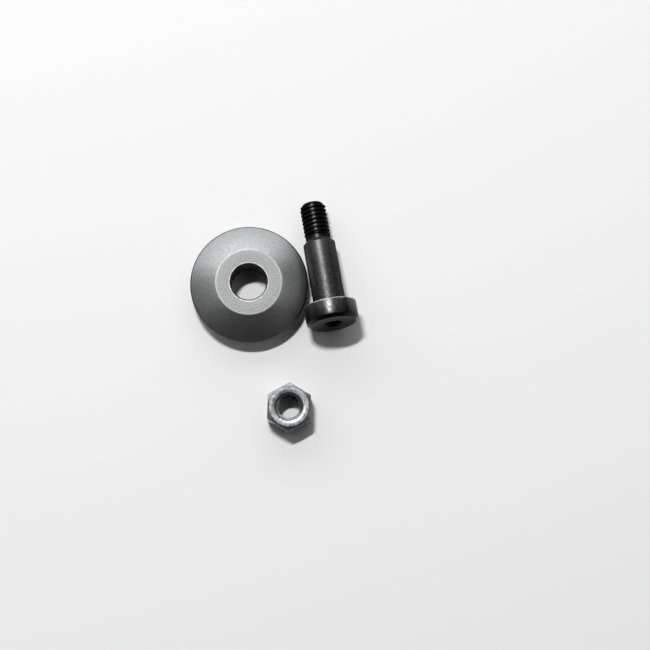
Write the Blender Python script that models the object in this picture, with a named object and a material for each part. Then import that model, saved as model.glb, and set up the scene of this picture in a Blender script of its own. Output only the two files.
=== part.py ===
"""Cutting wheel of a tile cutter, with the shoulder screw it turns on and the screw's hex nut.

The three pieces lie apart on one surface, as they come off the machine. The wheel lies flat
on its hub. The screw lies beside it on the edge of its head and on its tip, and the nut lies
flat in front of them. Lengths are in metres and angles in degrees. +X is right, +Y is back,
away from the viewer, and +Z is up. The origin is on the surface, under the middle of the set.
"""

import math

import bmesh
import bpy

# Cutting wheel, a double cone turned and ground from one piece of carbide
WHEEL_DIAMETER = 0.0220
WHEEL_WIDTH = 0.0060
WHEEL_BORE = 0.0067
WHEEL_BORE_CHAMFER = 0.00015
WHEEL_HUB_DIAMETER = 0.0124
WHEEL_HUB_EDGE_RADIUS = 0.0007
WHEEL_GROUND_EDGE = 0.0002
WHEEL_EDGE_ANGLE = 120.0

# Thread shared by the screw and the nut, and how much smaller the screw's own thread is
THREAD_DIAMETER = 0.0050
THREAD_PITCH = 0.0008
THREAD_ALLOWANCE = 0.00015

# Shoulder screw, measured from the end of its head to its tip
HEAD_DIAMETER = 0.0098
HEAD_HEIGHT = 0.00375
HEAD_END_CHAMFER = 0.0006
HEAD_UNDERSIDE_CHAMFER = 0.00025
SOCKET_ACROSS_FLATS = 0.0030
SOCKET_DEPTH = 0.0022
SOCKET_MOUTH_DIAMETER = 0.0038
SHOULDER_DIAMETER = 0.0060
SHOULDER_LENGTH = 0.01275
NECK_DIAMETER = 0.0046
NECK_LENGTH = 0.0008
THREADED_END_LENGTH = 0.00735
TIP_CHAMFER = 0.0007

# Hex nut
NUT_ACROSS_FLATS = 0.0080
NUT_HEIGHT = 0.0046
NUT_FACE_DIAMETER = 0.0075
NUT_CHAMFER_ANGLE = 30.0
NUT_COUNTERSINK_DIAMETER = 0.0054

# How the pieces lie, with the gaps as seen from above
SCREW_LEAN = 9.7
SHOULDER_TO_RIM_GAP = 0.00015
HEAD_TO_RIM_GAP = 0.0004
NUT_DIRECTION = -72.06
NUT_TO_RIM_GAP = 0.00877
NUT_TURN = -1.2

# How finely round surfaces are faceted, and the angle past which an edge is sharp
ROUND_STEPS = 96
THREAD_STEPS = 32
HUB_EDGE_STEPS = 4
SHARP_ANGLE = 25.0

# How far a tool runs past what it cuts, and a buried end into what it joins
OVERRUN = 0.0010
BURY = 0.0001
WELD = 0.000001

WHEEL_RADIUS = WHEEL_DIAMETER / 2
HEAD_RADIUS = HEAD_DIAMETER / 2
SHOULDER_RADIUS = SHOULDER_DIAMETER / 2
NECK_RADIUS = NECK_DIAMETER / 2
SCREW_THREAD_RADIUS = (THREAD_DIAMETER - THREAD_ALLOWANCE) / 2
NUT_CORNER_RADIUS = NUT_ACROSS_FLATS / math.sqrt(3)

# The ISO form is a 60 degree triangle, cut off by an eighth outside and a quarter inside
THREAD_DEPTH = THREAD_PITCH * math.sqrt(3) / 2 * 5 / 8
ROOT_FLAT = THREAD_PITCH / 4
FLANK = THREAD_PITCH * 5 / 16
CREST_FLAT = THREAD_PITCH / 8

SHOULDER_END = HEAD_HEIGHT + SHOULDER_LENGTH
SCREW_LENGTH = SHOULDER_END + THREADED_END_LENGTH


def clear_scene():
    """Remove every object that is in the scene."""
    for thing in list(bpy.data.objects):
        bpy.data.objects.remove(thing, do_unlink=True)


def make_material(name, colour, metallic, roughness):
    """Return a Principled material with the given colour and finish."""
    material = bpy.data.materials.new(name)
    material.use_nodes = True
    shader = material.node_tree.nodes["Principled BSDF"]
    shader.inputs["Base Color"].default_value = (*colour, 1.0)
    shader.inputs["Metallic"].default_value = metallic
    shader.inputs["Roughness"].default_value = roughness
    return material


def object_from_bmesh(name, shape):
    """Turn a finished bmesh into an object of the scene."""
    mesh = bpy.data.meshes.new(name)
    shape.to_mesh(mesh)
    shape.free()
    thing = bpy.data.objects.new(name, mesh)
    bpy.context.scene.collection.objects.link(thing)
    return thing


def turned_body(name, outline, steps=ROUND_STEPS):
    """Spin an outline of (radius, height) points once round Z.

    An outline that starts and ends on the axis closes there. Any other is a closed loop
    round a hole.
    """
    shape = bmesh.new()
    corners = [shape.verts.new((radius, 0.0, height)) for radius, height in outline]
    for start, end in zip(corners, corners[1:]):
        shape.edges.new((start, end))
    if outline[0][0] > 0.0:
        shape.edges.new((corners[-1], corners[0]))
    bmesh.ops.spin(
        shape,
        geom=shape.verts[:] + shape.edges[:],
        cent=(0.0, 0.0, 0.0),
        axis=(0.0, 0.0, 1.0),
        angle=math.tau,
        steps=steps,
        use_merge=True,
    )
    bmesh.ops.remove_doubles(shape, verts=shape.verts, dist=WELD)
    bmesh.ops.recalc_face_normals(shape, faces=shape.faces)
    return object_from_bmesh(name, shape)


def hex_prism(name, across_flats, bottom, top):
    """Make a hexagonal prism that stands between two heights, with a corner towards +Y."""
    shape = bmesh.new()
    radius = across_flats / math.sqrt(3)
    angles = [math.radians(90 + 60 * side) for side in range(6)]
    base = shape.faces.new(
        [shape.verts.new((radius * math.cos(a), radius * math.sin(a), bottom)) for a in angles]
    )
    raised = bmesh.ops.extrude_face_region(shape, geom=[base])["geom"]
    risen = [item for item in raised if isinstance(item, bmesh.types.BMVert)]
    bmesh.ops.translate(shape, verts=risen, vec=(0.0, 0.0, top - bottom))
    bmesh.ops.recalc_face_normals(shape, faces=shape.faces)
    return object_from_bmesh(name, shape)


def threaded_rod(name, crest_radius, bottom, top):
    """Make a rod with a right-hand thread that covers both heights, and runs past them.

    Each row of points follows the helix, one corner of the thread's form to a row. After one
    turn a row has risen by the pitch, so it meets the row that is one whole form above it.
    """
    root_radius = crest_radius - THREAD_DEPTH
    form = [
        (0.0, root_radius),
        (ROOT_FLAT, root_radius),
        (ROOT_FLAT + FLANK, crest_radius),
        (ROOT_FLAT + FLANK + CREST_FLAT, crest_radius),
    ]
    rows_per_turn = len(form)
    turns = math.ceil((top - bottom) / THREAD_PITCH) + 3
    last_row = turns * rows_per_turn
    low = bottom - 2 * THREAD_PITCH

    shape = bmesh.new()
    points = {}
    for step in range(THREAD_STEPS):
        angle = math.tau * step / THREAD_STEPS
        rows = last_row + (rows_per_turn if step == 0 else 0)
        for row in range(rows + 1):
            turn, corner = divmod(row, rows_per_turn)
            rise, radius = form[corner]
            height = low + THREAD_PITCH * (turn + step / THREAD_STEPS) + rise
            place = (radius * math.cos(angle), radius * math.sin(angle), height)
            points[row, step] = shape.verts.new(place)
    for row in range(last_row + rows_per_turn + 1):
        if row >= rows_per_turn:
            points[row - rows_per_turn, THREAD_STEPS] = points[row, 0]

    for step in range(THREAD_STEPS):
        for row in range(last_row):
            shape.faces.new((
                points[row, step],
                points[row, step + 1],
                points[row + 1, step + 1],
                points[row + 1, step],
            ))
    tips = ((0, low - THREAD_PITCH), (last_row, low + (turns + 2) * THREAD_PITCH))
    for row, height in tips:
        rim = [points[row, step] for step in range(THREAD_STEPS)]
        rim += [points[row + step, 0] for step in range(rows_per_turn, 0, -1)]
        middle = shape.verts.new((0.0, 0.0, height))
        for start, end in zip(rim, rim[1:] + rim[:1]):
            shape.faces.new((start, end, middle))
    bmesh.ops.triangulate(shape, faces=shape.faces)
    bmesh.ops.recalc_face_normals(shape, faces=shape.faces)
    return object_from_bmesh(name, shape)


def combine(body, tool, operation):
    """Unite, cut or intersect a body with a tool by a Boolean, and use the tool up.

    Points that the Boolean leaves closer together than the weld are joined.
    """
    step = body.modifiers.new(operation.title(), "BOOLEAN")
    step.operation = operation
    step.solver = "EXACT"
    step.object = tool
    graph = bpy.context.evaluated_depsgraph_get()
    result = bpy.data.meshes.new_from_object(body.evaluated_get(graph))
    shape = bmesh.new()
    shape.from_mesh(result)
    bmesh.ops.remove_doubles(shape, verts=shape.verts, dist=WELD)
    bmesh.ops.dissolve_degenerate(shape, edges=shape.edges, dist=WELD)
    shape.to_mesh(result)
    shape.free()
    body.modifiers.clear()
    spent = [body.data, tool.data]
    body.data = result
    bpy.data.objects.remove(tool, do_unlink=True)
    for mesh in spent:
        bpy.data.meshes.remove(mesh)
    result.name = body.name


def shade(body, material):
    """Give a body its material and smooth shading that breaks at its edges."""
    body.data.materials.clear()
    body.data.materials.append(material)
    body.data.shade_smooth()
    body.data.set_sharp_from_angle(angle=math.radians(SHARP_ANGLE))


def wheel_half_outline():
    """Return the wheel's upper half as points from its bore out to its ground edge.

    Heights are measured from the wheel's middle plane. The hub's face turns into the cone
    over a round edge, and the cone ends in a narrow band ground to the cutting angle.
    """
    half_width = WHEEL_WIDTH / 2
    bore = WHEEL_BORE / 2
    hub = WHEEL_HUB_DIAMETER / 2
    band_foot = WHEEL_RADIUS - WHEEL_GROUND_EDGE
    band_height = WHEEL_GROUND_EDGE * math.tan(math.radians(WHEEL_EDGE_ANGLE / 2))
    slope = math.atan2(half_width - band_height, band_foot - hub)
    tangent = WHEEL_HUB_EDGE_RADIUS * math.tan(slope / 2)

    outline = [(bore, half_width - WHEEL_BORE_CHAMFER), (bore + WHEEL_BORE_CHAMFER, half_width)]
    for step in range(HUB_EDGE_STEPS + 1):
        turn = slope * step / HUB_EDGE_STEPS
        radius = hub - tangent + WHEEL_HUB_EDGE_RADIUS * math.sin(turn)
        height = half_width - WHEEL_HUB_EDGE_RADIUS * (1 - math.cos(turn))
        outline.append((radius, height))
    outline.append((band_foot, band_height))
    return outline


def make_cutting_wheel():
    """Turn the wheel, lying flat on the surface with its axis through the origin."""
    upper = wheel_half_outline()
    lower = [(radius, -height) for radius, height in reversed(upper)]
    loop = upper + [(WHEEL_RADIUS, 0.0)] + lower
    raised = [(radius, height + WHEEL_WIDTH / 2) for radius, height in loop]
    wheel = turned_body("cutting_wheel", raised)
    shade(wheel, make_material("sintered_carbide", (0.42, 0.42, 0.41), 0.9, 0.45))
    return wheel


def screw_blank():
    """Turn the screw's head, shoulder and neck, standing on the end of the head."""
    core = SCREW_THREAD_RADIUS - THREAD_DEPTH - BURY
    neck_end = SHOULDER_END + NECK_LENGTH
    return turned_body("shoulder_screw", [
        (0.0, 0.0),
        (HEAD_RADIUS - HEAD_END_CHAMFER, 0.0),
        (HEAD_RADIUS, HEAD_END_CHAMFER),
        (HEAD_RADIUS, HEAD_HEIGHT - HEAD_UNDERSIDE_CHAMFER),
        (HEAD_RADIUS - HEAD_UNDERSIDE_CHAMFER, HEAD_HEIGHT),
        (SHOULDER_RADIUS, HEAD_HEIGHT),
        (SHOULDER_RADIUS, SHOULDER_END - (SHOULDER_RADIUS - NECK_RADIUS)),
        (NECK_RADIUS, SHOULDER_END),
        (NECK_RADIUS, neck_end),
        (core, neck_end + NECK_RADIUS - core),
        (0.0, neck_end + NECK_RADIUS - core),
    ])


def threaded_end():
    """Make the screw's threaded end, which fades in on the neck and ends in a chamfer."""
    core = SCREW_THREAD_RADIUS - THREAD_DEPTH - BURY
    outside = SCREW_THREAD_RADIUS + OVERRUN
    start = SHOULDER_END + NECK_LENGTH / 2
    end = turned_body("threaded_end", [
        (0.0, start),
        (core, start),
        (outside, start + outside - core),
        (outside, SCREW_LENGTH - TIP_CHAMFER - OVERRUN),
        (SCREW_THREAD_RADIUS - TIP_CHAMFER, SCREW_LENGTH),
        (0.0, SCREW_LENGTH),
    ])
    combine(end, threaded_rod("thread", SCREW_THREAD_RADIUS, start, SCREW_LENGTH), "INTERSECT")
    return end


def make_shoulder_screw():
    """Make the screw, standing on the end of its head with its axis on Z."""
    screw = screw_blank()
    combine(screw, threaded_end(), "UNION")
    mouth = SOCKET_MOUTH_DIAMETER / 2
    countersink = turned_body("socket_mouth", [
        (0.0, -OVERRUN),
        (mouth + OVERRUN, -OVERRUN),
        (0.0, mouth),
    ])
    combine(screw, countersink, "DIFFERENCE")
    socket = hex_prism("socket", SOCKET_ACROSS_FLATS, -OVERRUN, SOCKET_DEPTH)
    combine(screw, socket, "DIFFERENCE")
    shade(screw, make_material("black_oxide_steel", (0.035, 0.035, 0.037), 0.8, 0.35))
    return screw


def lay_screw_down(screw):
    """Lay the screw beside the wheel, on the edge under its head and on its thread's end."""
    head_edge = HEAD_HEIGHT - HEAD_UNDERSIDE_CHAMFER
    tip_edge = SCREW_LENGTH - TIP_CHAMFER
    dip = math.atan2(HEAD_RADIUS - SCREW_THREAD_RADIUS, tip_edge - head_edge)
    head_end_height = head_edge * math.sin(dip) + HEAD_RADIUS * math.cos(dip)

    lean = math.radians(SCREW_LEAN)
    aside = WHEEL_RADIUS + SHOULDER_TO_RIM_GAP + SHOULDER_RADIUS
    head_reach = (WHEEL_RADIUS + HEAD_TO_RIM_GAP) ** 2 - (aside - HEAD_RADIUS) ** 2
    forward = math.sqrt(max(head_reach, 0.0)) + HEAD_HEIGHT * math.cos(dip)
    screw.rotation_euler = (-math.pi / 2 - dip, 0.0, lean)
    screw.location = (
        aside * math.cos(lean) + forward * math.sin(lean),
        aside * math.sin(lean) - forward * math.cos(lean),
        head_end_height,
    )


def make_hex_nut():
    """Make the nut, standing on one face with its threaded hole on Z."""
    face = NUT_FACE_DIAMETER / 2
    sink = NUT_COUNTERSINK_DIAMETER / 2
    drilled = THREAD_DIAMETER / 2 - THREAD_DEPTH - BURY
    outside = NUT_CORNER_RADIUS + OVERRUN
    drop = (outside - face) * math.tan(math.radians(NUT_CHAMFER_ANGLE))
    nut = turned_body("hex_nut", [
        (drilled, sink - drilled),
        (sink, 0.0),
        (face, 0.0),
        (outside, drop),
        (outside, NUT_HEIGHT - drop),
        (face, NUT_HEIGHT),
        (sink, NUT_HEIGHT),
        (drilled, NUT_HEIGHT - sink + drilled),
    ])
    combine(nut, hex_prism("hexagon", NUT_ACROSS_FLATS, -OVERRUN, NUT_HEIGHT + OVERRUN), "INTERSECT")
    combine(nut, threaded_rod("tap", THREAD_DIAMETER / 2, 0.0, NUT_HEIGHT), "DIFFERENCE")
    shade(nut, make_material("zinc_plated_steel", (0.62, 0.63, 0.65), 0.95, 0.28))
    return nut


def lay_nut_down(nut):
    """Set the nut flat on the surface in front of the wheel."""
    away = WHEEL_RADIUS + NUT_TO_RIM_GAP + NUT_CORNER_RADIUS
    direction = math.radians(NUT_DIRECTION)
    nut.location = (away * math.cos(direction), away * math.sin(direction), 0.0)
    nut.rotation_euler = (0.0, 0.0, math.radians(NUT_TURN))


def centre_set(pieces):
    """Parent the pieces to an empty that puts the middle of their box over the origin."""
    holder = bpy.data.objects.new("set_on_surface", None)
    bpy.context.scene.collection.objects.link(holder)
    for piece in pieces:
        piece.parent = holder
    bpy.context.view_layer.update()
    points = [piece.matrix_world @ vertex.co for piece in pieces for vertex in piece.data.vertices]
    middle = [(min(p[axis] for p in points) + max(p[axis] for p in points)) / 2 for axis in (0, 1)]
    floor = min(point.z for point in points)
    holder.location = (-middle[0], -middle[1], -floor)


clear_scene()
cutting_wheel = make_cutting_wheel()
shoulder_screw = make_shoulder_screw()
hex_nut = make_hex_nut()
lay_screw_down(shoulder_screw)
lay_nut_down(hex_nut)
centre_set([cutting_wheel, shoulder_screw, hex_nut])
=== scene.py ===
"""Looks of a tile cutter's cutting wheel, the shoulder screw it turns on and the screw's nut.

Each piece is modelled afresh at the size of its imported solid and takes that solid's place.
Lengths are in metres and angles in degrees, unless a name says otherwise. A round piece is
modelled round Z and then laid where its solid lies.
"""

import logging
import math
from dataclasses import dataclass, field
from enum import Enum

import bpy
from mathutils import Euler, Matrix, Vector


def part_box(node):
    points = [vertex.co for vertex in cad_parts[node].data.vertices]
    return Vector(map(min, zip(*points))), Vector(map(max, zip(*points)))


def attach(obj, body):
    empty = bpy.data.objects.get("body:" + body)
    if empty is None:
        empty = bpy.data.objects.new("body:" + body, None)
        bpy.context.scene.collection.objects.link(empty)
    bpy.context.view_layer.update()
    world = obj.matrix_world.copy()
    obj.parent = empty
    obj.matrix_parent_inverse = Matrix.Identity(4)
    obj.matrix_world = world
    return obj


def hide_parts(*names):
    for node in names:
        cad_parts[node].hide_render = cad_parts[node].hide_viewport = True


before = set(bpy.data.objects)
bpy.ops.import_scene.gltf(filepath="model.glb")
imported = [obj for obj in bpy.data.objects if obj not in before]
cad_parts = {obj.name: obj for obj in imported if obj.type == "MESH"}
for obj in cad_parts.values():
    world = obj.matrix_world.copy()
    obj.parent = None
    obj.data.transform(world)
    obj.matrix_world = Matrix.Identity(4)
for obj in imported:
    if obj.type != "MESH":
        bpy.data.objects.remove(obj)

MM = 0.001
BODY = "root"

# Points nearer to each other than this are one point.
WELD = 0.000001
# How far a cutting tool reaches past what it cuts.
OVERRUN = 1.0 * MM

Colour = tuple[float, float, float]

log = logging.getLogger("tile_cutter_wheel")


@dataclass(frozen=True)
class Corner:
    """One corner of a turned outline: its radius, its height and how far it is rounded."""

    radius: float
    height: float
    rounding: float = 0.0

    def place(self) -> Vector:
        """Return the corner as a 2-D point."""
        return Vector((self.radius, self.height))


@dataclass
class Outline:
    """The half section of a turned piece, as corners in order along the surface.

    Attributes:
        corners: The corners, each with its own rounding.
        closed: Whether the last corner joins the first, as on a ring with a hole through it.
        arc_steps: How many edges a rounded corner gets.
    """

    corners: list[Corner]
    closed: bool = False
    arc_steps: int = 5

    def traced(self) -> list[Vector]:
        """Return the outline's points, with its rounded corners as arcs."""
        points = []
        count = len(self.corners)
        for index, corner in enumerate(self.corners):
            at_end = not self.closed and index in (0, count - 1)
            if corner.rounding == 0.0 or at_end:
                points.append(corner.place())
                continue
            before = self.corners[index - 1].place()
            after = self.corners[(index + 1) % count].place()
            points += self.arc(before, corner, after)
        return points

    def arc(self, before: Vector, corner: Corner, after: Vector) -> list[Vector]:
        """Return the points of the arc that rounds one corner.

        Args:
            before: The place of the corner before it.
            corner: The corner to round.
            after: The place of the corner after it.

        Returns:
            The arc's points, from the side of before to the side of after.
        """
        back = (before - corner.place()).normalized()
        ahead = (after - corner.place()).normalized()
        half = back.angle(ahead) / 2
        centre = corner.place() + (back + ahead).normalized() * corner.rounding / math.sin(half)
        start = corner.place() + back * corner.rounding / math.tan(half) - centre
        end = corner.place() + ahead * corner.rounding / math.tan(half) - centre
        turn = start.angle_signed(end)
        points = []
        for step in range(self.arc_steps + 1):
            swing = Matrix.Rotation(-turn * step / self.arc_steps, 2)
            points.append(centre + swing @ start)
        return points


def edit(piece: bpy.types.Object, mode: str = "VERT") -> None:
    """Open a piece in edit mode with nothing selected.

    Args:
        piece: The piece to open.
        mode: What a selection picks: VERT, EDGE or FACE.
    """
    bpy.ops.object.select_all(action="DESELECT")
    bpy.context.view_layer.objects.active = piece
    piece.select_set(True)
    bpy.ops.object.mode_set(mode="EDIT")
    bpy.ops.mesh.select_mode(type=mode)
    bpy.ops.mesh.select_all(action="DESELECT")


def leave_edit() -> None:
    """Go back to object mode."""
    bpy.ops.object.mode_set(mode="OBJECT")


def tidy_mesh(piece: bpy.types.Object) -> None:
    """Weld a piece's doubled points and turn its faces outwards."""
    edit(piece)
    bpy.ops.mesh.select_all(action="SELECT")
    bpy.ops.mesh.remove_doubles(threshold=WELD)
    bpy.ops.mesh.normals_make_consistent(inside=False)
    leave_edit()


def turned(name: str, outline: Outline, steps: int) -> bpy.types.Object:
    """Model a turned piece round Z by drawing one ring out along its outline.

    Args:
        name: The piece's name.
        outline: Its half section.
        steps: How many sides each ring has.

    Returns:
        The closed piece.
    """
    points = outline.traced()
    first = points[0]
    bpy.ops.object.select_all(action="DESELECT")
    bpy.ops.mesh.primitive_circle_add(
        vertices=steps,
        radius=first.x,
        fill_type="NOTHING" if outline.closed else "NGON",
        location=(0.0, 0.0, first.y),
    )
    piece = bpy.context.object
    piece.name = name
    piece.data.name = name
    bpy.ops.object.transform_apply(location=True)
    edit(piece, "EDGE")
    bpy.ops.mesh.select_all(action="SELECT")
    if not outline.closed:
        bpy.ops.mesh.region_to_loop()
    for last, here in zip(points, points[1:]):
        rise = (0.0, 0.0, here.y - last.y)
        bpy.ops.mesh.extrude_edges_move(TRANSFORM_OT_translate={"value": rise})
        ratio = here.x / last.x
        bpy.ops.transform.resize(value=(ratio, ratio, 1.0), center_override=(0.0, 0.0, 0.0))
    if outline.closed:
        ratio = first.x / points[-1].x
        rise = (0.0, 0.0, first.y - points[-1].y)
        bpy.ops.mesh.extrude_edges_move(TRANSFORM_OT_translate={"value": rise})
        bpy.ops.transform.resize(value=(ratio, ratio, 1.0), center_override=(0.0, 0.0, 0.0))
    else:
        bpy.ops.mesh.edge_face_add()
    leave_edit()
    tidy_mesh(piece)
    return piece


def hexagon_bar(
    name: str, across_flats: float, bottom: float, top: float, soften: float = 0.0
) -> bpy.types.Object:
    """Model a hexagonal bar round Z with a corner towards +Y.

    Args:
        name: The bar's name.
        across_flats: Its size from flat to flat.
        bottom: The height of its lower end.
        top: The height of its upper end.
        soften: How far the edges along it are rounded, or 0 for sharp ones.

    Returns:
        The closed bar.
    """
    bpy.ops.object.select_all(action="DESELECT")
    bpy.ops.mesh.primitive_cylinder_add(
        vertices=6,
        radius=across_flats / math.sqrt(3),
        depth=top - bottom,
        location=(0.0, 0.0, (top + bottom) / 2),
    )
    bar = bpy.context.object
    bar.name = name
    bpy.ops.object.transform_apply(location=True)
    if soften > 0.0:
        # This clears the selection, so that the bevel takes the edges along the bar alone.
        edit(bar, "EDGE")
        leave_edit()
        for edge in bar.data.edges:
            low, high = (bar.data.vertices[index].co for index in edge.vertices)
            edge.select = abs(low.z - high.z) > WELD
        bpy.ops.object.mode_set(mode="EDIT")
        bpy.ops.mesh.bevel(offset=soften, segments=4, affect="EDGES")
        leave_edit()
    return bar


def combine(piece: bpy.types.Object, tool: bpy.types.Object, operation: str) -> None:
    """Unite, cut or intersect a piece with a tool by an exact Boolean, and delete the tool."""
    step = piece.modifiers.new(operation.title(), "BOOLEAN")
    step.operation = operation
    step.solver = "EXACT"
    step.object = tool
    bpy.ops.object.select_all(action="DESELECT")
    bpy.context.view_layer.objects.active = piece
    piece.select_set(True)
    bpy.ops.object.modifier_apply(modifier=step.name)
    mesh = tool.data
    bpy.data.objects.remove(tool, do_unlink=True)
    bpy.data.meshes.remove(mesh)


def dress(piece: bpy.types.Object, finish: bpy.types.Material) -> None:
    """Give a piece one finish, in place of the empty slots that a Boolean leaves."""
    piece.data.materials.clear()
    piece.data.materials.append(finish)


@dataclass(frozen=True)
class Thread:
    """A right-hand ISO metric thread.

    Attributes:
        crest_radius: The radius of its crests.
        pitch: How far it rises in a turn.
        bury: How far the ridge's foot sits inside what it is joined to.
        steps: How many sides a turn has.
    """

    crest_radius: float
    pitch: float
    bury: float = 0.05 * MM
    steps: int = 96

    @property
    def depth(self) -> float:
        """Return the height of the ridge: five eighths of a 60 degree triangle."""
        return self.pitch * math.sqrt(3) / 2 * 5 / 8

    @property
    def root_radius(self) -> float:
        """Return the radius of the thread's roots."""
        return self.crest_radius - self.depth

    def ridge(self, name: str, bottom: float, top: float, phase: float) -> bpy.types.Object:
        """Model the thread's ridge as one closed coil that covers both heights.

        Args:
            name: The ridge's name.
            bottom: The lowest height that the ridge has to cover.
            top: The highest height that it has to cover.
            phase: The height at which a crest crosses +X, give or take whole pitches.

        Returns:
            The ridge, whose foot lies a little inside the root radius.
        """
        foot = 3 / 4 * self.pitch
        crest = 1 / 8 * self.pitch
        reach = self.depth + self.bury
        start = phase + self.pitch * (math.floor((bottom - phase) / self.pitch) - 1)
        turns = math.ceil((top - start) / self.pitch) + 1
        middle = self.crest_radius - reach / 2
        # The profile is a rectangle whose outer side is drawn in to the crest's width.
        bpy.ops.object.select_all(action="DESELECT")
        bpy.ops.mesh.primitive_plane_add(size=1.0, location=(middle, 0.0, start))
        ridge = bpy.context.object
        ridge.name = name
        bpy.ops.object.transform_apply(location=True)
        edit(ridge)
        bpy.ops.mesh.select_all(action="SELECT")
        centre = (middle, 0.0, start)
        bpy.ops.transform.rotate(value=math.pi / 2, orient_axis="X", center_override=centre)
        bpy.ops.transform.resize(value=(reach, 1.0, foot), center_override=centre)
        bpy.ops.mesh.delete(type="ONLY_FACE")
        leave_edit()
        for vertex in ridge.data.vertices:
            vertex.select = vertex.co.x > middle
        bpy.ops.object.mode_set(mode="EDIT")
        bpy.ops.transform.resize(value=(1.0, 1.0, crest / foot), center_override=centre)
        leave_edit()
        coil = ridge.modifiers.new("Coil", "SCREW")
        coil.axis = "Z"
        coil.angle = math.tau
        coil.screw_offset = self.pitch
        coil.iterations = turns
        coil.steps = self.steps
        coil.render_steps = self.steps
        coil.use_merge_vertices = False
        bpy.ops.object.modifier_apply(modifier=coil.name)
        edit(ridge, "EDGE")
        bpy.ops.mesh.select_non_manifold(extend=False, use_wire=False, use_multi_face=False)
        bpy.ops.mesh.fill_holes(sides=0)
        leave_edit()
        tidy_mesh(ridge)
        return ridge


def finish_piece(piece: bpy.types.Object, node: str, sharp_angle: float) -> None:
    """Shade a piece, let it stand for its solid and report it.

    Args:
        piece: The piece, already in place and dressed.
        node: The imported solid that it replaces.
        sharp_angle: The angle in degrees past which an edge stays sharp.
    """
    bpy.ops.object.select_all(action="DESELECT")
    bpy.context.view_layer.objects.active = piece
    piece.select_set(True)
    bpy.ops.object.transform_apply(location=True, rotation=True, scale=True)
    bpy.ops.object.shade_smooth_by_angle(angle=math.radians(sharp_angle))
    level = piece.modifiers.new("Level", "WEIGHTED_NORMAL")
    level.keep_sharp = True
    bpy.ops.object.modifier_apply(modifier=level.name)
    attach(piece, BODY)
    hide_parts(node)
    log.info("%s: %d faces for %s", piece.name, len(piece.data.polygons), node)


def centre_on_node(piece: bpy.types.Object, node: str) -> None:
    """Move a piece so that the middle of its box is the middle of its solid's box."""
    bpy.context.view_layer.update()
    low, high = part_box(node)
    places = [piece.matrix_world @ vertex.co for vertex in piece.data.vertices]
    for axis in range(3):
        middle = (min(p[axis] for p in places) + max(p[axis] for p in places)) / 2
        piece.location[axis] += (low[axis] + high[axis]) / 2 - middle


def grey(level: float) -> Colour:
    """Return a level as a grey, which a value socket reads as that level."""
    return (level, level, level)


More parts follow.
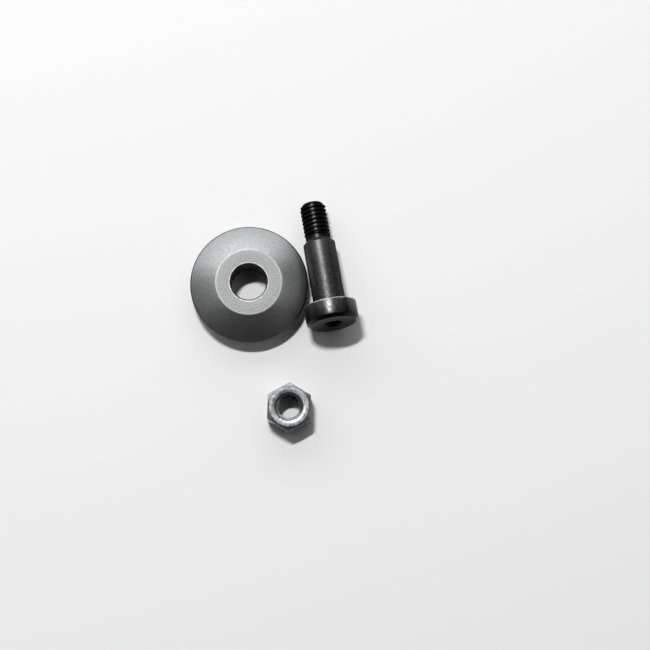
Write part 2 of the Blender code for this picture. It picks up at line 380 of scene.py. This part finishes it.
class NodeBench:
    """Builds one material's nodes, measured in millimetres in the piece's own frame.

    So every bare number beside a radius or a height in the finishes is in millimetres too.

    Attributes:
        MIX_COLOURS: Which two inputs of a Mix node take its colours.
        MIX_RESULT: Which of its outputs gives the mixed colour.
        material: The material.
        tree: Its node tree.
        shader: Its Principled shader.
        place: A point's place in the piece's own frame.
    """

    MIX_COLOURS = (6, 7)
    MIX_RESULT = 2

    def __init__(self, name: str, centre: Vector, turn: Euler) -> None:
        """Start a material.

        Args:
            name: The material's name.
            centre: The world place of the piece's own origin.
            turn: How the piece's own frame is turned in the world.
        """
        self.material = bpy.data.materials.new(name)
        self.material.use_nodes = True
        self.tree = self.material.node_tree
        self.shader = self.tree.nodes["Principled BSDF"]
        coordinates = self.tree.nodes.new("ShaderNodeTexCoord")
        shift = self.tree.nodes.new("ShaderNodeVectorMath")
        shift.operation = "SUBTRACT"
        shift.inputs[1].default_value = centre
        turning = self.tree.nodes.new("ShaderNodeVectorRotate")
        turning.rotation_type = "EULER_XYZ"
        turning.invert = True
        turning.inputs["Rotation"].default_value = turn
        scale = self.tree.nodes.new("ShaderNodeVectorMath")
        scale.operation = "SCALE"
        scale.inputs["Scale"].default_value = 1 / MM
        self.link(coordinates.outputs["Object"], shift.inputs[0])
        self.link(shift.outputs[0], turning.inputs["Vector"])
        self.link(turning.outputs[0], scale.inputs[0])
        self.place = scale.outputs[0]

    def link(self, source: bpy.types.NodeSocket, target: bpy.types.NodeSocket) -> None:
        """Join two sockets."""
        self.tree.links.new(source, target)

    def noise(
        self, per_mm: float, detail: float, stretch: Vector | None = None
    ) -> bpy.types.NodeSocket:
        """Return a noise pattern.

        Args:
            per_mm: How many of its features fit in a millimetre.
            detail: How many finer layers it has.
            stretch: How much finer it is along each of the piece's axes.

        Returns:
            The pattern, from 0 to 1.
        """
        texture = self.tree.nodes.new("ShaderNodeTexNoise")
        texture.inputs["Scale"].default_value = per_mm
        texture.inputs["Detail"].default_value = detail
        source = self.place
        if stretch is not None:
            squeeze = self.tree.nodes.new("ShaderNodeVectorMath")
            squeeze.operation = "MULTIPLY"
            squeeze.inputs[1].default_value = stretch
            self.link(self.place, squeeze.inputs[0])
            source = squeeze.outputs[0]
        self.link(source, texture.inputs["Vector"])
        return texture.outputs["Fac"]

    def along_axis(self) -> bpy.types.NodeSocket:
        """Return how far a point is along the piece's own Z axis, in millimetres."""
        split = self.tree.nodes.new("ShaderNodeSeparateXYZ")
        self.link(self.place, split.inputs[0])
        return split.outputs["Z"]

    def from_axis(self) -> bpy.types.NodeSocket:
        """Return how far a point is from the piece's own Z axis, in millimetres."""
        flatten = self.tree.nodes.new("ShaderNodeVectorMath")
        flatten.operation = "MULTIPLY"
        flatten.inputs[1].default_value = (1.0, 1.0, 0.0)
        length = self.tree.nodes.new("ShaderNodeVectorMath")
        length.operation = "LENGTH"
        self.link(self.place, flatten.inputs[0])
        self.link(flatten.outputs[0], length.inputs[0])
        return length.outputs["Value"]

    def ranged(
        self, source: bpy.types.NodeSocket, low: float, high: float, to_low: float, to_high: float
    ) -> bpy.types.NodeSocket:
        """Return a value mapped smoothly from one range to another, and held at its ends.

        Args:
            source: The value.
            low: Where the range that is read starts.
            high: Where it ends.
            to_low: What low becomes.
            to_high: What high becomes.

        Returns:
            The mapped value.
        """
        mapping = self.tree.nodes.new("ShaderNodeMapRange")
        mapping.interpolation_type = "SMOOTHSTEP"
        for label, value in (
            ("From Min", low), ("From Max", high), ("To Min", to_low), ("To Max", to_high),
        ):
            mapping.inputs[label].default_value = value
        self.link(source, mapping.inputs["Value"])
        return mapping.outputs[0]

    def product(
        self, first: bpy.types.NodeSocket, second: bpy.types.NodeSocket
    ) -> bpy.types.NodeSocket:
        """Return the product of two values."""
        node = self.tree.nodes.new("ShaderNodeMath")
        node.operation = "MULTIPLY"
        self.link(first, node.inputs[0])
        self.link(second, node.inputs[1])
        return node.outputs[0]

    def band(
        self, source: bpy.types.NodeSocket, start: float, full: float, fade: float, end: float
    ) -> bpy.types.NodeSocket:
        """Return 1 where a value is from full to fade, going down to 0 at start and at end."""
        rising = self.ranged(source, start, full, 0.0, 1.0)
        falling = self.ranged(source, fade, end, 1.0, 0.0)
        return self.product(rising, falling)

    def blend(
        self,
        amount: bpy.types.NodeSocket,
        first: bpy.types.NodeSocket | Colour,
        second: bpy.types.NodeSocket | Colour,
    ) -> bpy.types.NodeSocket:
        """Return a colour that goes from the first to the second with the amount."""
        mix = self.tree.nodes.new("ShaderNodeMix")
        mix.data_type = "RGBA"
        self.link(amount, mix.inputs["Factor"])
        for index, colour in zip(self.MIX_COLOURS, (first, second)):
            if isinstance(colour, tuple):
                mix.inputs[index].default_value = (*colour, 1.0)
            else:
                self.link(colour, mix.inputs[index])
        return mix.outputs[self.MIX_RESULT]

    def bump(self, height: bpy.types.NodeSocket, depth: float) -> None:
        """Roughen the surface by a pattern.

        Args:
            height: The pattern, from 0 to 1.
            depth: How deep it goes, in metres.
        """
        node = self.tree.nodes.new("ShaderNodeBump")
        node.inputs["Strength"].default_value = 1.0
        node.inputs["Distance"].default_value = depth
        self.link(height, node.inputs["Height"])
        self.link(node.outputs[0], self.shader.inputs["Normal"])


@dataclass(frozen=True)
class CarbideFinish:
    """Satin grey sintered carbide, with a patchy painted highlight round the mouth of the bore,
    and painted shade on the cone towards the rim, on the ground edge and in the bore.
    """

    hub_light: Colour = (0.362, 0.364, 0.365)
    hub_dark: Colour = (0.238, 0.240, 0.241)
    cone: Colour = (0.455, 0.458, 0.462)
    # Painted shade: the cone's colour at the rim is darker, so the cone darkens outwards.
    rim: Colour = (0.355, 0.358, 0.362)
    cone_dark: Colour = (0.30, 0.302, 0.305)
    # Painted shade: the ground edge band is near-black.
    edge: Colour = (0.06, 0.06, 0.06)
    # Painted shade: the bore's wall is near-black.
    bore: Colour = (0.06, 0.06, 0.06)
    # Painted highlight: a bright line round the mouth of the bore.
    painted_mouth_highlight: Colour = (0.62, 0.622, 0.626)
    cone_roughness: float = 0.42
    hub_roughness: float = 0.62
    grain_depth: float = 0.006 * MM

    def material(
        self, centre: Vector, mouth_radius: float, hub_radius: float, band_radius: float
    ) -> bpy.types.Material:
        """Return the finish for a wheel.

        Args:
            centre: The place of the middle of the wheel's lower face.
            mouth_radius: The radius of its bore's mouth, at the outside of the chamfer.
            hub_radius: The radius of the hub's flat faces.
            band_radius: The radius at which the ground edge starts.

        Returns:
            The material.
        """
        bench = NodeBench("sintered_carbide", centre, Euler((0.0, 0.0, 0.0)))
        outward = bench.from_axis()
        mouth, hub_edge, band = (size / MM for size in (mouth_radius, hub_radius, band_radius))
        grain = bench.noise(4.0, 4.0)
        hub = bench.blend(bench.ranged(grain, 0.32, 0.68, 0.0, 1.0), self.hub_dark, self.hub_light)
        # Painted shade: the cone darkens from the hub out towards the rim.
        cone = bench.blend(bench.ranged(outward, hub_edge, band, 0.0, 1.0), self.cone, self.rim)
        mottle = bench.ranged(bench.noise(2.0, 5.0), 0.35, 0.75, 0.0, 0.7)
        cone = bench.blend(mottle, cone, self.cone_dark)
        off_hub = bench.ranged(outward, hub_edge - 0.35, hub_edge - 0.1, 0.0, 1.0)
        colour = bench.blend(off_hub, hub, cone)
        # Painted shade: the ground edge band is given a near-black colour.
        ground = bench.ranged(outward, band - 0.06, band, 0.0, 1.0)
        colour = bench.blend(ground, colour, self.edge)
        # Painted highlight: a patchy bright line round the mouth of the bore.
        line = bench.band(outward, mouth + 0.06, mouth + 0.12, mouth + 0.18, mouth + 0.30)
        patches = bench.ranged(bench.noise(1.1, 3.0), 0.38, 0.62, 0.3, 1.0)
        colour = bench.blend(bench.product(line, patches), colour, self.painted_mouth_highlight)
        # Painted shade: the bore's wall is given a near-black colour.
        bore_shade_mask = bench.ranged(outward, mouth + 0.02, mouth + 0.10, 1.0, 0.0)
        colour = bench.blend(bore_shade_mask, colour, self.bore)
        bench.link(colour, bench.shader.inputs["Base Color"])
        on_cone = bench.ranged(outward, hub_edge - 0.2, hub_edge + 0.3, 0.0, 1.0)
        rough = bench.ranged(on_cone, 0.0, 1.0, self.hub_roughness, self.cone_roughness)
        bench.link(rough, bench.shader.inputs["Roughness"])
        bench.shader.inputs["Metallic"].default_value = 1.0
        bench.bump(grain, self.grain_depth)
        return bench.material


@dataclass(frozen=True)
class BlackOxideFinish:
    """Black oxide on steel: scratched along the shoulder, with a painted highlight as a patchy
    bright line at the head's underside edge.
    """

    end_face: Colour = (0.020, 0.020, 0.021)
    head: Colour = (0.088, 0.088, 0.089)
    shoulder: Colour = (0.036, 0.036, 0.037)
    shoulder_end: Colour = (0.062, 0.062, 0.063)
    thread: Colour = (0.020, 0.020, 0.021)
    scratch: Colour = (0.13, 0.13, 0.13)
    # Painted highlight: a bright line at the head's underside edge.
    painted_edge_highlight: Colour = (0.45, 0.45, 0.45)
    head_grazing: float = 0.9
    thread_grazing: float = 0.4
    head_roughness: float = 0.35
    head_patchiness: float = 0.07
    shoulder_roughness: float = 0.43
    thread_roughness: float = 0.34
    scratch_depth: float = 0.002 * MM

    def material(
        self, head_end: Vector, turn: Euler, head: tuple[float, float], shoulder_end: float
    ) -> bpy.types.Material:
        """Return the finish for a screw.

        Args:
            head_end: The place of the middle of the head's end.
            turn: How the screw is turned in the world.
            head: The head's radius and height.
            shoulder_end: How far the shoulder's end lies from the head's end.

        Returns:
            The material.
        """
        bench = NodeBench("black_oxide_steel", head_end, turn)
        head_radius, under_head = (size / MM for size in head)
        past = shoulder_end / MM
        along = bench.along_axis()
        on_head = bench.ranged(along, 0.1, under_head - 0.3, 0.0, 1.0)
        on_shoulder = bench.ranged(along, under_head - 0.02, under_head + 0.02, 0.0, 1.0)
        near_thread = bench.ranged(along, past - 7.0, past - 1.0, 0.0, 1.0)
        on_thread = bench.ranged(along, past - 0.3, past + 0.3, 0.0, 1.0)

        scratches = bench.noise(7.0, 5.0, Vector((1.4, 1.4, 0.5)))
        wear = bench.ranged(scratches, 0.42, 0.78, 0.0, 1.0)
        shoulder = bench.blend(near_thread, self.shoulder, self.shoulder_end)
        shoulder = bench.blend(wear, shoulder, self.scratch)

        # Painted highlight: a patchy bright line round the outer edge of the head's underside.
        rim = bench.ranged(along, under_head - 0.32, under_head - 0.2, 0.0, 1.0)
        outermost = bench.ranged(bench.from_axis(), head_radius - 0.3, head_radius - 0.2, 0.0, 1.0)
        patches = bench.ranged(bench.noise(0.9, 2.0), 0.40, 0.60, 0.25, 1.0)
        edge_highlight_mask = bench.product(bench.product(rim, outermost), patches)

        colour = bench.blend(on_head, self.end_face, self.head)
        colour = bench.blend(edge_highlight_mask, colour, self.painted_edge_highlight)
        colour = bench.blend(on_shoulder, colour, shoulder)
        colour = bench.blend(on_thread, colour, self.thread)
        bench.link(colour, bench.shader.inputs["Base Color"])

        handled = bench.ranged(
            bench.noise(3.2, 4.0, Vector((1.0, 1.0, 0.5))),
            0.35,
            0.65,
            self.head_roughness - self.head_patchiness,
            self.head_roughness + self.head_patchiness,
        )
        rough = bench.blend(on_shoulder, handled, grey(self.shoulder_roughness))
        rough = bench.blend(on_thread, rough, grey(self.thread_roughness))
        bench.link(rough, bench.shader.inputs["Roughness"])
        tint = bench.blend(on_shoulder, grey(self.head_grazing), grey(self.thread_grazing))
        bench.link(tint, bench.shader.inputs["Specular Tint"])
        bench.shader.inputs["Metallic"].default_value = 1.0
        bench.bump(scratches, self.scratch_depth)
        return bench.material


@dataclass(frozen=True)
class ZincFinish:
    """Bright zinc plate with small dull patches, and painted shade as a dark line round the nut's
    faces and in its hole.
    """

    bright: Colour = (0.355, 0.36, 0.371)
    dull: Colour = (0.27, 0.274, 0.283)
    # Painted shade: the hole's wall is near-black.
    inside: Colour = (0.05, 0.05, 0.053)
    # Painted shade: a dark line round the outer edge of the nut's faces.
    face_edge_shade: Colour = (0.10, 0.10, 0.104)
    face_edge_shade_width: float = 0.14
    roughness: float = 0.275
    metallic: float = 0.85
    mottle_depth: float = 0.0025 * MM

    def material(
        self, centre: Vector, hole_radius: float, face_radius: float
    ) -> bpy.types.Material:
        """Return the finish for a nut, with painted shade in its hole and along its faces' outer
        edge.

        Args:
            centre: The nut's place.
            hole_radius: How far its hole's wall is from its axis.
            face_radius: How far its faces' outer edge is from its axis.

        Returns:
            The material.
        """
        bench = NodeBench("zinc_plated_steel", centre, Euler((0.0, 0.0, 0.0)))
        patches = bench.noise(0.8, 4.0)
        colour = bench.blend(bench.ranged(patches, 0.35, 0.65, 0.0, 1.0), self.dull, self.bright)
        outward = bench.from_axis()
        hole, edge = (size / MM for size in (hole_radius, face_radius))
        # Painted shade: a dark line along the outer edge of the faces.
        line = bench.band(outward, edge - self.face_edge_shade_width, edge, edge, edge + self.face_edge_shade_width)
        colour = bench.blend(line, colour, self.face_edge_shade)
        # Painted shade: the hole's wall is given a near-black colour.
        off_wall = bench.ranged(outward, hole - 0.1, hole + 0.1, 0.0, 1.0)
        colour = bench.blend(off_wall, self.inside, colour)
        bench.link(colour, bench.shader.inputs["Base Color"])
        mottle = bench.noise(1.9, 3.0)
        rough = bench.ranged(mottle, 0.3, 0.7, self.roughness - 0.04, self.roughness + 0.06)
        bench.link(rough, bench.shader.inputs["Roughness"])
        bench.shader.inputs["Metallic"].default_value = self.metallic
        bench.bump(mottle, self.mottle_depth)
        return bench.material


@dataclass
class CuttingWheel:
    """The double-cone wheel, lying on its hub. Its diameter and width are its solid's."""

    node: str = "cutting_wheel"
    hub_diameter: float = 12.4 * MM
    bore: float = 6.7 * MM
    bore_chamfer: float = 0.15 * MM
    hub_edge_radius: float = 0.7 * MM
    crown: float = 0.06 * MM
    crown_steps: int = 8
    ground_edge: float = 0.2 * MM
    edge_angle: float = 120.0
    sides: int = 256
    sharp_angle: float = 40.0
    finish: CarbideFinish = field(default_factory=CarbideFinish)

    def outline(self, diameter: float, width: float) -> Outline:
        """Return the wheel's closed half section, from the bore out over the rim and back.

        Args:
            diameter: The wheel's diameter at its cutting edge.
            width: Its width at the hub.

        Returns:
            The outline, with heights from the wheel's lower face.
        """
        bore = self.bore / 2
        band_radius = diameter / 2 - self.ground_edge
        band_height = self.ground_edge * math.tan(math.radians(self.edge_angle / 2))
        upper = [
            Corner(bore, width - self.bore_chamfer, 0.04 * MM),
            Corner(bore + self.bore_chamfer, width, 0.05 * MM),
            Corner(self.hub_diameter / 2, width, self.hub_edge_radius),
            Corner(band_radius, width / 2 + band_height, 0.08 * MM),
        ]
        upper[3:3] = self.crowned(upper[2].place(), upper[3].place())
        lower = [Corner(c.radius, width - c.height, c.rounding) for c in reversed(upper)]
        rim = Corner(diameter / 2, width / 2, 0.015 * MM)
        return Outline(upper + [rim] + lower, closed=True)

    def crowned(self, hub_edge: Vector, band_edge: Vector) -> list[Corner]:
        """Return the points that bow the cone out a little between two corners."""
        outward = (band_edge - hub_edge).orthogonal().normalized()
        outward *= 1.0 if outward.x > 0.0 else -1.0
        start = self.hub_edge_radius / (band_edge - hub_edge).length
        points = []
        for step in range(1, self.crown_steps):
            along = start + (1.0 - start) * step / self.crown_steps
            bow = self.crown * (1.0 - (2.0 * along - 1.0) ** 2)
            place = hub_edge.lerp(band_edge, along) + outward * bow
            points.append(Corner(place.x, place.y))
        return points

    def build(self) -> bpy.types.Object:
        """Model, dress and place the wheel.

        Returns:
            The finished piece.
        """
        low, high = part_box(self.node)
        wheel = turned("carbide_wheel", self.outline(high.x - low.x, high.z - low.z), self.sides)
        centre = Vector(((low.x + high.x) / 2, (low.y + high.y) / 2, low.z))
        wheel.location = centre
        finish = self.finish.material(
            centre,
            self.bore / 2 + self.bore_chamfer,
            self.hub_diameter / 2,
            (high.x - low.x) / 2 - self.ground_edge,
        )
        dress(wheel, finish)
        finish_piece(wheel, self.node, self.sharp_angle)
        return wheel


@dataclass
class ShoulderScrew:
    """The screw that the wheel turns on, lying on the edge of its head and on its tip.

    Heights along it are counted from the end of its head, which is its own origin.
    """

    node: str = "shoulder_screw"
    head_diameter: float = 9.8 * MM
    head_height: float = 3.75 * MM
    head_end_chamfer: float = 0.6 * MM
    end_flat: float = 1.2 * MM
    head_underside_chamfer: float = 0.25 * MM
    socket_across_flats: float = 3.0 * MM
    socket_depth: float = 2.2 * MM
    socket_mouth: float = 3.8 * MM
    shoulder_diameter: float = 6.0 * MM
    shoulder_length: float = 12.75 * MM
    neck_diameter: float = 4.6 * MM
    neck_length: float = 0.8 * MM
    threaded_end: float = 7.35 * MM
    tip_chamfer: float = 0.7 * MM
    lean: float = 9.7
    sides: int = 192
    sharp_angle: float = 28.0
    thread: Thread = Thread(crest_radius=2.425 * MM, pitch=0.8 * MM)
    finish: BlackOxideFinish = field(default_factory=BlackOxideFinish)

    @property
    def shoulder_end(self) -> float:
        """Return how far the shoulder's end lies from the end of the head."""
        return self.head_height + self.shoulder_length

    @property
    def length(self) -> float:
        """Return the screw's whole length."""
        return self.shoulder_end + self.threaded_end

    @property
    def dip(self) -> float:
        """Return how far the screw's axis drops towards its tip, in radians."""
        head_edge = self.head_height - self.head_underside_chamfer
        tip_edge = self.length - self.tip_chamfer
        return math.atan2(self.head_diameter / 2 - self.thread.crest_radius, tip_edge - head_edge)

    def blank(self) -> bpy.types.Object:
        """Turn the screw with its threaded end at the thread's root radius."""
        head = self.head_diameter / 2
        shoulder = self.shoulder_diameter / 2
        neck = self.neck_diameter / 2
        root = self.thread.root_radius
        neck_end = self.shoulder_end + self.neck_length
        tip_radius = self.thread.crest_radius - self.tip_chamfer
        return turned("black_shoulder_screw", Outline([
            Corner(head - self.head_end_chamfer - self.end_flat, 0.0),
            Corner(head - self.head_end_chamfer, 0.0, 0.25 * MM),
            Corner(head, self.head_end_chamfer, 0.35 * MM),
            Corner(head, self.head_height, 0.22 * MM),
            Corner(shoulder, self.head_height, 0.12 * MM),
            Corner(shoulder, self.shoulder_end - (shoulder - neck), 0.12 * MM),
            Corner(neck, self.shoulder_end, 0.15 * MM),
            Corner(neck, neck_end, 0.10 * MM),
            Corner(root, neck_end + neck - root, 0.10 * MM),
            Corner(root, self.length - (root - tip_radius), 0.03 * MM),
            Corner(tip_radius, self.length, 0.05 * MM),
            Corner(tip_radius / 2, self.length),
        ]), self.sides)

    def threads(self) -> bpy.types.Object:
        """Model the thread's ridge, faded in on the neck and cut to the tip's chamfer."""
        start = self.shoulder_end + self.neck_length / 2
        root = self.thread.root_radius
        outside = self.thread.crest_radius + OVERRUN
        # Well inside the foot of the ridge, so that the foot is kept whole.
        inside = root - 4 * self.thread.bury
        envelope = turned("thread_envelope", Outline([
            Corner(inside, start + inside - root),
            Corner(outside, start + outside - root),
            Corner(outside, self.length - self.tip_chamfer - OVERRUN),
            Corner(inside, self.length - self.tip_chamfer + self.thread.crest_radius - inside),
        ], closed=True), self.sides)
        phase = start + 5 / 8 * self.thread.pitch
        ridge = self.thread.ridge("thread_ridge", start, self.length, phase)
        combine(ridge, envelope, "INTERSECT")
        return ridge

    def build(self) -> bpy.types.Object:
        """Model, dress and place the screw.

        Returns:
            The finished piece.
        """
        screw = self.blank()
        combine(screw, self.threads(), "UNION")
        mouth = self.socket_mouth / 2
        countersink = turned("socket_mouth", Outline([
            Corner(mouth + OVERRUN, -OVERRUN),
            Corner(0.02 * MM, mouth),
        ]), self.sides)
        combine(screw, countersink, "DIFFERENCE")
        socket = hexagon_bar("socket", self.socket_across_flats, -OVERRUN, self.socket_depth)
        combine(screw, socket, "DIFFERENCE")
        screw.rotation_euler = (-math.pi / 2 - self.dip, 0.0, math.radians(self.lean))
        centre_on_node(screw, self.node)
        head_end, turn = screw.location.copy(), screw.rotation_euler.copy()
        head = (self.head_diameter / 2, self.head_height)
        dress(screw, self.finish.material(head_end, turn, head, self.shoulder_end))
        finish_piece(screw, self.node, self.sharp_angle)
        return screw


@dataclass
class HexNut:
    """The plain nut, lying flat. Its height is its solid's."""

    node: str = "hex_nut"
    across_flats: float = 8.0 * MM
    corner_softening: float = 0.12 * MM
    face_diameter: float = 7.5 * MM
    dish_diameter: float = 6.4 * MM
    dish_depth: float = 0.024 * MM
    chamfer_angle: float = 30.0
    countersink: float = 5.4 * MM
    turn: float = -1.2
    sides: int = 192
    sharp_angle: float = 28.0
    thread: Thread = Thread(crest_radius=2.5 * MM, pitch=0.8 * MM)
    finish: ZincFinish = field(default_factory=ZincFinish)

    def build(self) -> bpy.types.Object:
        """Model, dress and place the nut.

        Returns:
            The finished piece.
        """
        low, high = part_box(self.node)
        height = high.z - low.z
        face = self.face_diameter / 2
        outside = self.across_flats / math.sqrt(3) + OVERRUN
        drop = (outside - face) * math.tan(math.radians(self.chamfer_angle))
        sink = self.countersink / 2
        dish = self.dish_diameter / 2
        hole = self.thread.root_radius
        nut = turned("zinc_hex_nut", Outline([
            Corner(hole, sink - hole, 0.08 * MM),
            Corner(sink, self.dish_depth, 0.08 * MM),
            Corner(dish, 0.0, 0.20 * MM),
            Corner(face, 0.0, 0.06 * MM),
            Corner(outside, drop),
            Corner(outside, height - drop),
            Corner(face, height, 0.06 * MM),
            Corner(dish, height, 0.20 * MM),
            Corner(sink, height - self.dish_depth, 0.08 * MM),
            Corner(hole, height - sink + hole, 0.08 * MM),
        ], closed=True), self.sides)
        bar = hexagon_bar(
            "hexagon", self.across_flats, -OVERRUN, height + OVERRUN, self.corner_softening
        )
        combine(nut, bar, "INTERSECT")
        phase = 5 / 8 * self.thread.pitch
        combine(nut, self.thread.ridge("tap_ridge", 0.0, height, phase), "DIFFERENCE")
        nut.rotation_euler = (0.0, 0.0, math.radians(self.turn))
        centre_on_node(nut, self.node)
        dress(nut, self.finish.material(nut.location.copy(), hole, face))
        finish_piece(nut, self.node, self.sharp_angle)
        return nut


class Side(Enum):
    """Where a lamp stands, as its azimuth in degrees, counted from +X towards +Y."""

    FRONT_RIGHT = -35.0
    RIGHT = 10.0
    BACK_LEFT = 101.0
    KEY = 112.5
    LEFT = 180.0


@dataclass(frozen=True)
class Softbox:
    """A flat lamp that faces the set.

    Attributes:
        name: The lamp's name.
        side: Where it stands.
        height_angle: How high it stands, in degrees above the floor.
        distance: How far from the set it stands.
        size: Its width and height.
        radiance: How bright its face is.
    """

    name: str
    side: Side
    height_angle: float
    distance: float
    size: tuple[float, float]
    radiance: float

    def place(self, target: Vector) -> None:
        """Add the lamp, pointed at a target."""
        across = math.radians(self.side.value)
        up = math.radians(self.height_angle)
        level = math.cos(up)
        away = Vector((math.cos(across) * level, math.sin(across) * level, math.sin(up)))
        data = bpy.data.lights.new(self.name, "AREA")
        data.shape = "RECTANGLE"
        data.size, data.size_y = self.size
        data.energy = math.pi * self.size[0] * self.size[1] * self.radiance
        lamp = bpy.data.objects.new(self.name, data)
        bpy.context.scene.collection.objects.link(lamp)
        lamp.location = target + away * self.distance
        lamp.rotation_euler = away.to_track_quat("Z", "Y").to_euler()


@dataclass
class Studio:
    """The pale floor, the soft lamps and the camera.

    Attributes:
        floor_size: The length of the floor's sides.
        floor_colour: Its colour.
        floor_roughness: Its roughness.
        world_strength: How bright the world is.
        camera_elevation: How high the camera stands, in degrees above the floor.
        camera_distance: How far it is from what it looks at.
        sensor_width: The width of its sensor, in Blender's millimetres.
        clip_start: How near to it the picture starts.
        picture_pixels: The width and height of the photograph.
        pixels_per_mm: The photograph's scale at the wheel.
        rim_pixel: Where the photograph shows the middle of the wheel's rim, from its top left.
        softboxes: The lamps.
    """

    floor_size: float = 3.0
    floor_colour: Colour = (0.86, 0.86, 0.86)
    floor_roughness: float = 0.9
    world_strength: float = 0.007
    camera_elevation: float = 80.0
    camera_distance: float = 0.60
    sensor_width: float = 36.0
    clip_start: float = 0.01
    picture_pixels: float = 650.0
    pixels_per_mm: float = 5.36
    rim_pixel: tuple[float, float] = (249.1, 284.7)
    softboxes: tuple[Softbox, ...] = (
        Softbox("key", Side.KEY, 65.0, 0.8, (0.16, 0.04), 250.0),
        Softbox("window", Side.BACK_LEFT, 24.0, 0.8, (2.0, 0.55), 1.75),
        Softbox("left", Side.LEFT, 46.0, 0.8, (0.5, 0.4), 0.56),
        Softbox("right", Side.RIGHT, 50.0, 0.8, (0.6, 0.4), 0.68),
        Softbox("front", Side.FRONT_RIGHT, 38.0, 0.8, (0.6, 0.4), 0.03),
    )

    def lay_floor(self) -> None:
        """Lay the pale floor under the set."""
        bpy.ops.object.select_all(action="DESELECT")
        bpy.ops.mesh.primitive_plane_add(size=self.floor_size)
        floor = bpy.context.object
        floor.name = "floor"
        material = bpy.data.materials.new("pale_floor")
        material.use_nodes = True
        shader = material.node_tree.nodes["Principled BSDF"]
        shader.inputs["Base Color"].default_value = (*self.floor_colour, 1.0)
        shader.inputs["Roughness"].default_value = self.floor_roughness
        floor.data.materials.append(material)

    def light(self) -> None:
        """Set the world's level and place the lamps."""
        world = bpy.data.worlds.new("studio")
        world.use_nodes = True
        background = world.node_tree.nodes["Background"]
        background.inputs["Color"].default_value = (1.0, 1.0, 1.0, 1.0)
        background.inputs["Strength"].default_value = self.world_strength
        bpy.context.scene.world = world
        for softbox in self.softboxes:
            softbox.place(Vector())

    def aim_camera(self) -> None:
        """Place the camera so that the wheel's rim falls where the photograph shows it."""
        low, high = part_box("cutting_wheel")
        rim = (low + high) / 2
        up = math.radians(self.camera_elevation)
        towards_camera = Vector((0.0, -math.cos(up), math.sin(up)))
        picture_up = Vector((0.0, math.sin(up), math.cos(up)))
        scale = MM / self.pixels_per_mm
        middle = self.picture_pixels / 2
        right = (middle - self.rim_pixel[0]) * scale
        down = (middle - self.rim_pixel[1]) * scale
        target = rim + Vector((right, 0.0, 0.0)) - picture_up * down
        data = bpy.data.cameras.new("camera")
        data.sensor_width = self.sensor_width
        data.lens = data.sensor_width * self.camera_distance / (self.picture_pixels * scale)
        data.clip_start = self.clip_start
        camera = bpy.data.objects.new("camera", data)
        bpy.context.scene.collection.objects.link(camera)
        camera.location = target + towards_camera * self.camera_distance
        camera.rotation_euler = (math.pi / 2 - up, 0.0, 0.0)
        bpy.context.scene.camera = camera


def main() -> None:
    """Build the three pieces and the studio, and log each piece's face count."""
    logging.basicConfig(level=logging.INFO, format="%(name)s: %(message)s")
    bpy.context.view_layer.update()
    bpy.context.scene.view_settings.view_transform = "Standard"
    for maker in (CuttingWheel(), ShoulderScrew(), HexNut()):
        maker.build()
    studio = Studio()
    studio.lay_floor()
    studio.light()
    studio.aim_camera()


if __name__ == "__main__":
    main()
